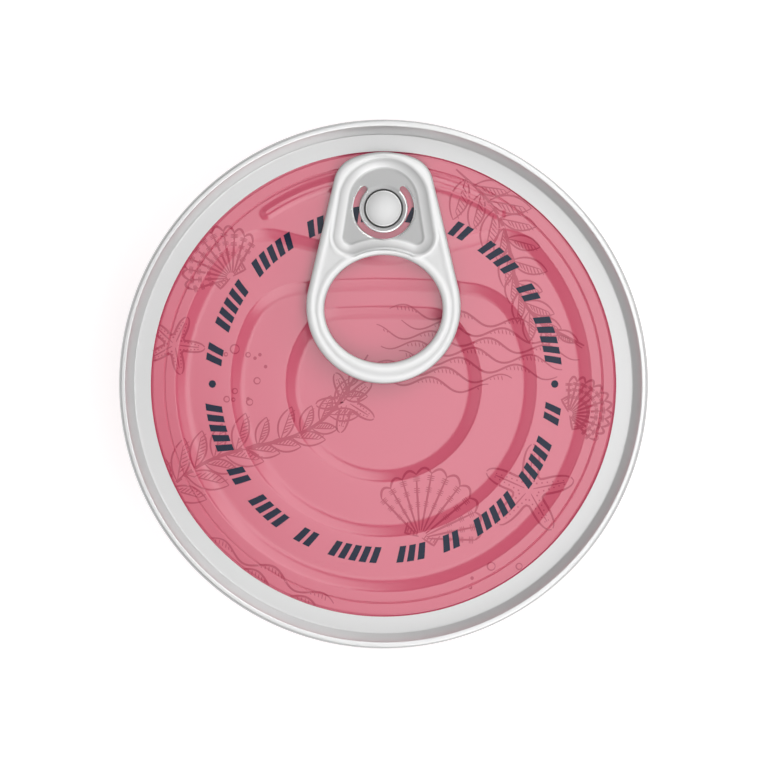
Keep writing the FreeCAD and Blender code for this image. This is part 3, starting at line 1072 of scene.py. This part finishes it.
def finish(name, pieces, grain_mm, roughness, colour, **inputs):
    """Material with a fine grain that varies the roughness, put on some pieces.

    The noise scale is one over the grain size, as object space is in metres.  The
    colour is a hex, or a list of (height in mm, hex) that it blends between.
    """
    material = bpy.data.materials.new(name)
    tree = empty_tree(material)
    place = add_node(tree, "TexCoord").outputs["Object"]
    grain = add_node(tree, "TexNoise", {
        "Vector": place, "Scale": 1 / (grain_mm * MM), "Detail": 2.0})
    spread = add_node(tree, "MapRange", {
        "Value": grain.outputs["Fac"], "To Min": roughness - grain_depth,
        "To Max": roughness + grain_depth})
    base = linear(colour) if isinstance(colour, str) else blend_by_height(tree, place, colour)
    shader = add_node(tree, "BsdfPrincipled", {
        "Base Color": base, "Roughness": spread.outputs["Result"], **inputs})
    add_node(tree, "OutputMaterial", {"Surface": shader.outputs["BSDF"]})
    for piece in pieces:
        piece.data.materials.append(material)
    print(name, "on", [piece.name for piece in pieces])


# %% [markdown]
# Printed tinplate: the pink ground, the rose lines and the navy border share one
# varnish, which the coat settings stand for; it is thinner over the inks.  Bare
# tinplate is steel with a thin layer of tin, grey white and satin, and smoother where
# a tool has rubbed it.  The ring pull is a lacquered rolled strip, so less metallic;
# its colour is painted by height, a touch lighter on its bevel and crests as painted
# highlight and darker in its hollows as painted shade, and it has a bright cut edge
# round its slot.  The grain is that of rolled sheet, drawn coarse enough to show:
# 0.2 mm on metal and 0.4 mm on the print.

# %% Materials on their pieces
metal_grain, print_grain = 0.2, 0.4
grain_depth = 0.02
varnish = {"Coat Weight": 1.0, "Coat Roughness": 0.18, "Coat IOR": 1.7,
           "Specular IOR Level": 0.15}
finish("litho_pink_on_tinplate", [panel, wall, boss], print_grain, 0.35, "#DA5D77", **varnish)
finish("litho_rose_line", [end_art, wall_end_art], print_grain, 0.35, "#BE405C",
       **{**varnish, "Coat Weight": 0.6})
finish("litho_navy", [rope, dots, wall_rope], print_grain, 0.4, "#0C1C38",
       **{**varnish, "Coat Weight": 0.2})
finish("dull_tinplate", [neck, base], metal_grain, 0.5, "#BEBEBE", Metallic=1.0)
finish("matt_rolled_tinplate", [rim], metal_grain, 0.52, "#E2E2E2", Metallic=1.0)
finish("burnished_tinplate", [rim], metal_grain, 0.31, "#DCDCDC", Metallic=1.0)
# Painted shade: the seam crown and its outer side are coloured darker the lower they are,
# standing in for shade down the outer side.
finish("seam_crown_painted_shade", [rim], metal_grain, 0.42,
       [(can_height - 0.12, "#C8C8C8"), (can_height - 0.02, "#E4E4E4")], Metallic=1.0)
# Painted light on the rivet head by height: the dark stop under its edge is a painted shadow,
# the light band on the rounded rim a painted highlight, and the top is painted darker towards
# its edge as shade.
finish("rivet_head_painted_shade_and_highlight", [rivet], metal_grain, 0.45,
       [(head_z - 0.3, "#6E6E6E"), (head_z - 0.22, "#E4E4E4"), (head_z - 0.12, "#E4E4E4"),
        (head_z - 0.1, "#C8C8C8"), (head_z, "#E0E0E0")], Metallic=0.8)
# Painted light on the ring pull by height: the darkest stop paints a shadow in the groove
# round the rivet head and at the slot edges, the grey stop paints shade on the sunken web, the
# white stop paints a highlight on the well's bevel, and the top is painted lighter on the
# ridge crests than in the valleys.
finish("tab_strip_painted_shade_and_highlight", [ring_pull], metal_grain, 0.45,
       [(web_top_z - 0.26, "#505050"), (web_top_z - 0.16, "#BCBCBC"),
        (web_top_z + 0.02, "#BCBCBC"), (web_top_z + 0.2, "#FFFFFF"),
        (tab_top_z - 0.12, "#CECECE"), (tab_top_z, "#F4F4F4")], Metallic=0.5)
finish("sheared_tab_edge", [ring_pull], metal_grain, 0.3, "#FFFFFF", Metallic=1.0)

# %% [markdown]
# ## Floor, lamps and camera
#
# Metal shows what stands round it, so the lamps are large soft panels.  The two
# strongest stand to the right, so slopes that face right come out light and those that
# face left dark.  Weaker ones in front, low down, on the left and overhead fill the
# slopes between.  The floor is plain white and keeps the can's shadow.

# %% Floor and world
floor_reach = 1.5
mesh = bpy.data.meshes.new("floor")
mesh.from_pydata([(x * floor_reach, y * floor_reach, 0)
                  for x, y in ((-1, -1), (1, -1), (1, 1), (-1, 1))], [], [(0, 1, 2, 3)])
floor = new_object("floor", mesh)
paint = bpy.data.materials.new("matt_white_floor")
tree = empty_tree(paint)
path = add_node(tree, "LightPath").outputs
seen = add_node(tree, "Math",
                {0: path["Is Camera Ray"], 1: path["Is Glossy Ray"]}, operation="ADD")
seen = add_node(tree, "Math", {0: seen.outputs[0], 1: path["Is Transmission Ray"]},
                operation="ADD", use_clamp=True)
matt = add_node(tree, "BsdfDiffuse", {"Color": linear("#BCBCBC")})
glow = add_node(tree, "Emission", {"Color": (1, 1, 1, 1), "Strength": 0.76})
both = add_node(tree, "AddShader", {0: matt.outputs[0], 1: glow.outputs[0]})
mixed = add_node(tree, "MixShader",
                 {"Fac": seen.outputs[0], 1: matt.outputs[0], 2: both.outputs[0]})
add_node(tree, "OutputMaterial", {"Surface": mixed.outputs[0]})
floor.data.materials.append(paint)

world = bpy.data.worlds.new("studio")
bpy.context.scene.world = world
tree = empty_tree(world)
toward = add_node(tree, "TexCoord").outputs["Generated"]
upward = add_node(tree, "SeparateXYZ", {"Vector": toward}).outputs["Z"]
level = add_node(tree, "MapRange", {
    "Value": upward, "From Min": 0.1, "From Max": 0.7, "To Min": 1.0, "To Max": 0.18})
sky = add_node(tree, "Background",
               {"Color": (1, 1, 1, 1), "Strength": level.outputs["Result"]})
add_node(tree, "OutputWorld", {"Surface": sky.outputs[0]})
print("floor and world set")


# %% Lamps
def soft_panel(name, azimuth, elevation, distance, width, height, watts):
    """Oblong area lamp on a dome round the can, facing it; azimuth 0 is +X."""
    turn, rise = math.radians(azimuth), math.radians(elevation)
    away = np.array([*math.cos(rise) * heading(turn), math.sin(rise)])
    data = bpy.data.lights.new(name, "AREA")
    data.shape = "RECTANGLE"
    data.size = width
    data.size_y = height
    data.energy = watts
    lamp = new_object(name, data)
    lamp.location = away * distance + (0, 0, can_height * MM)
    direction = lamp.location.copy()
    direction.z -= can_height * MM
    lamp.rotation_mode = "QUATERNION"
    lamp.rotation_quaternion = direction.to_track_quat("Z", "Y")
    lamp.visible_camera = False
    print(name, watts, "W")


soft_panel("upper_right_panel", 62, 50, 0.6, 0.32, 0.32, 0.8)
soft_panel("lower_right_panel", -66, 50, 0.6, 0.32, 0.32, 0.84)
soft_panel("front_panel", -79, 72, 0.5, 0.19, 0.11, 0.115)
soft_panel("low_right_strip", 0, 25, 0.6, 0.5, 0.07, 0.24)
soft_panel("left_panel", 180, 50, 0.6, 0.3, 0.3, 0.13)
soft_panel("overhead_panel", 24, 80.5, 0.36, 0.12, 0.2, 0.18)

# %% Camera
lens, sensor = 600.0, 36.0
view_width = 126.7 * MM
camera_data = bpy.data.cameras.new("camera")
camera_data.lens = lens
camera_data.sensor_width = sensor
camera_data.clip_start = 0.01
camera = new_object("camera", camera_data)
camera.location = (0.08 * MM, 0, can_height * MM + view_width * lens / sensor)
bpy.context.scene.camera = camera
bpy.context.scene.view_settings.view_transform = "Standard"
